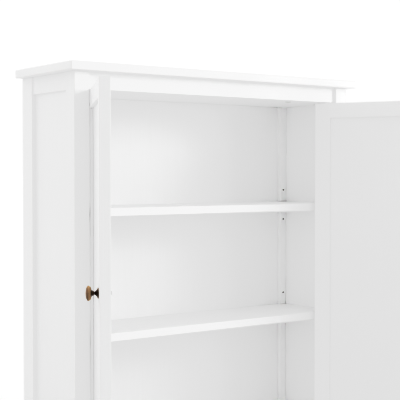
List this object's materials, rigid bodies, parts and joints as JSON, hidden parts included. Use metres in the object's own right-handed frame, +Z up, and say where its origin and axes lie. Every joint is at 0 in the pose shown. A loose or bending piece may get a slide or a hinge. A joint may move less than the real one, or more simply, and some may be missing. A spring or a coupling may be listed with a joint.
{
  "type": "apothecary cabinet",
  "caption": "Standing white cupboard on short square legs with framed pivot doors, turned brass knobs and loose adjustable shelves inside.",
  "frame": {"origin": "on the floor, under the middle of the overall box with both doors open as at rest", "axes": "+X to the cabinet's own left-to-right as seen from the front, +Y from the front to the back, +Z up"},
  "size_m": [1.037, 0.5354, 1],
  "materials": {
    "white_lacquered_wood": "satin white sprayed lacquer",
    "antique_brass": "darkened antique brass, polished highlights",
    "zinc_plated_steel": "bright zinc plating",
    "dark_rubber": "matte"
  },
  "bodies": {
    "carcass": {"back_panel": "white_lacquered_wood", "back_rail_bottom": "white_lacquered_wood", "back_rail_top": "white_lacquered_wood", "bottom_board": "white_lacquered_wood", "ceiling_board": "white_lacquered_wood", "door_bumper": "dark_rubber", "front_apron": "white_lacquered_wood", "front_post_left": "white_lacquered_wood", "front_post_right": "white_lacquered_wood", "front_rail_bottom": "white_lacquered_wood", "pivot_bush_bottom_left": "antique_brass", "pivot_bush_bottom_right": "antique_brass", "pivot_bush_top_left": "antique_brass", "pivot_bush_top_right": "antique_brass", "rear_batten_left": "white_lacquered_wood", "rear_batten_right": "white_lacquered_wood", "rear_stile_left": "white_lacquered_wood", "rear_stile_right": "white_lacquered_wood", "shelf_lower_support_front_left": "zinc_plated_steel", "shelf_lower_support_front_right": "zinc_plated_steel", "shelf_lower_support_rear_left": "zinc_plated_steel", "shelf_lower_support_rear_right": "zinc_plated_steel", "shelf_upper_support_front_left": "zinc_plated_steel", "shelf_upper_support_front_right": "zinc_plated_steel", "shelf_upper_support_rear_left": "zinc_plated_steel", "shelf_upper_support_rear_right": "zinc_plated_steel", "side_panel_left": "white_lacquered_wood", "side_panel_right": "white_lacquered_wood", "side_rail_bottom_left": "white_lacquered_wood", "side_rail_bottom_right": "white_lacquered_wood", "side_rail_top_left": "white_lacquered_wood", "side_rail_top_right": "white_lacquered_wood", "top_board": "white_lacquered_wood"},
    "door_left": {"door_bottom_rail_left": "white_lacquered_wood", "door_hinge_stile_left": "white_lacquered_wood", "door_meeting_stile_left": "white_lacquered_wood", "door_panel_left": "white_lacquered_wood", "door_top_rail_left": "white_lacquered_wood", "knob_left": "antique_brass", "knob_rose_left": "antique_brass", "knob_screw_left": "antique_brass", "pivot_pin_bottom_left": "zinc_plated_steel", "pivot_pin_top_left": "zinc_plated_steel"},
    "door_right": {"door_bottom_rail_right": "white_lacquered_wood", "door_hinge_stile_right": "white_lacquered_wood", "door_meeting_stile_right": "white_lacquered_wood", "door_panel_right": "white_lacquered_wood", "door_top_rail_right": "white_lacquered_wood", "knob_right": "antique_brass", "knob_rose_right": "antique_brass", "knob_screw_right": "antique_brass", "pivot_pin_bottom_right": "zinc_plated_steel", "pivot_pin_top_right": "zinc_plated_steel"},
    "shelf_lower": {"shelf_lower": "white_lacquered_wood"},
    "shelf_upper": {"shelf_upper": "white_lacquered_wood"}
  },
  "joints": [
    {"name": "door_left_hinge", "type": "hinge", "parent": "carcass", "child": "door_left", "pos_m": [-0.33996, 0.03867, 0.5], "axis": [0, 0, 1], "range_deg": [-4, 117.09]},
    {"name": "door_right_hinge", "type": "hinge", "parent": "carcass", "child": "door_right", "pos_m": [0.33996, 0.03867, 0.5], "axis": [0, 0, -1], "range_deg": [-4, 117.09]},
    {"name": "shelf_upper_lift", "type": "slide", "parent": "carcass", "child": "shelf_upper", "axis": [0, 0, 1], "range_m": [0, 0.25]},
    {"name": "shelf_lower_lift", "type": "slide", "parent": "carcass", "child": "shelf_lower", "axis": [0, 0, 1], "range_m": [0, 0.25]}
  ]
}
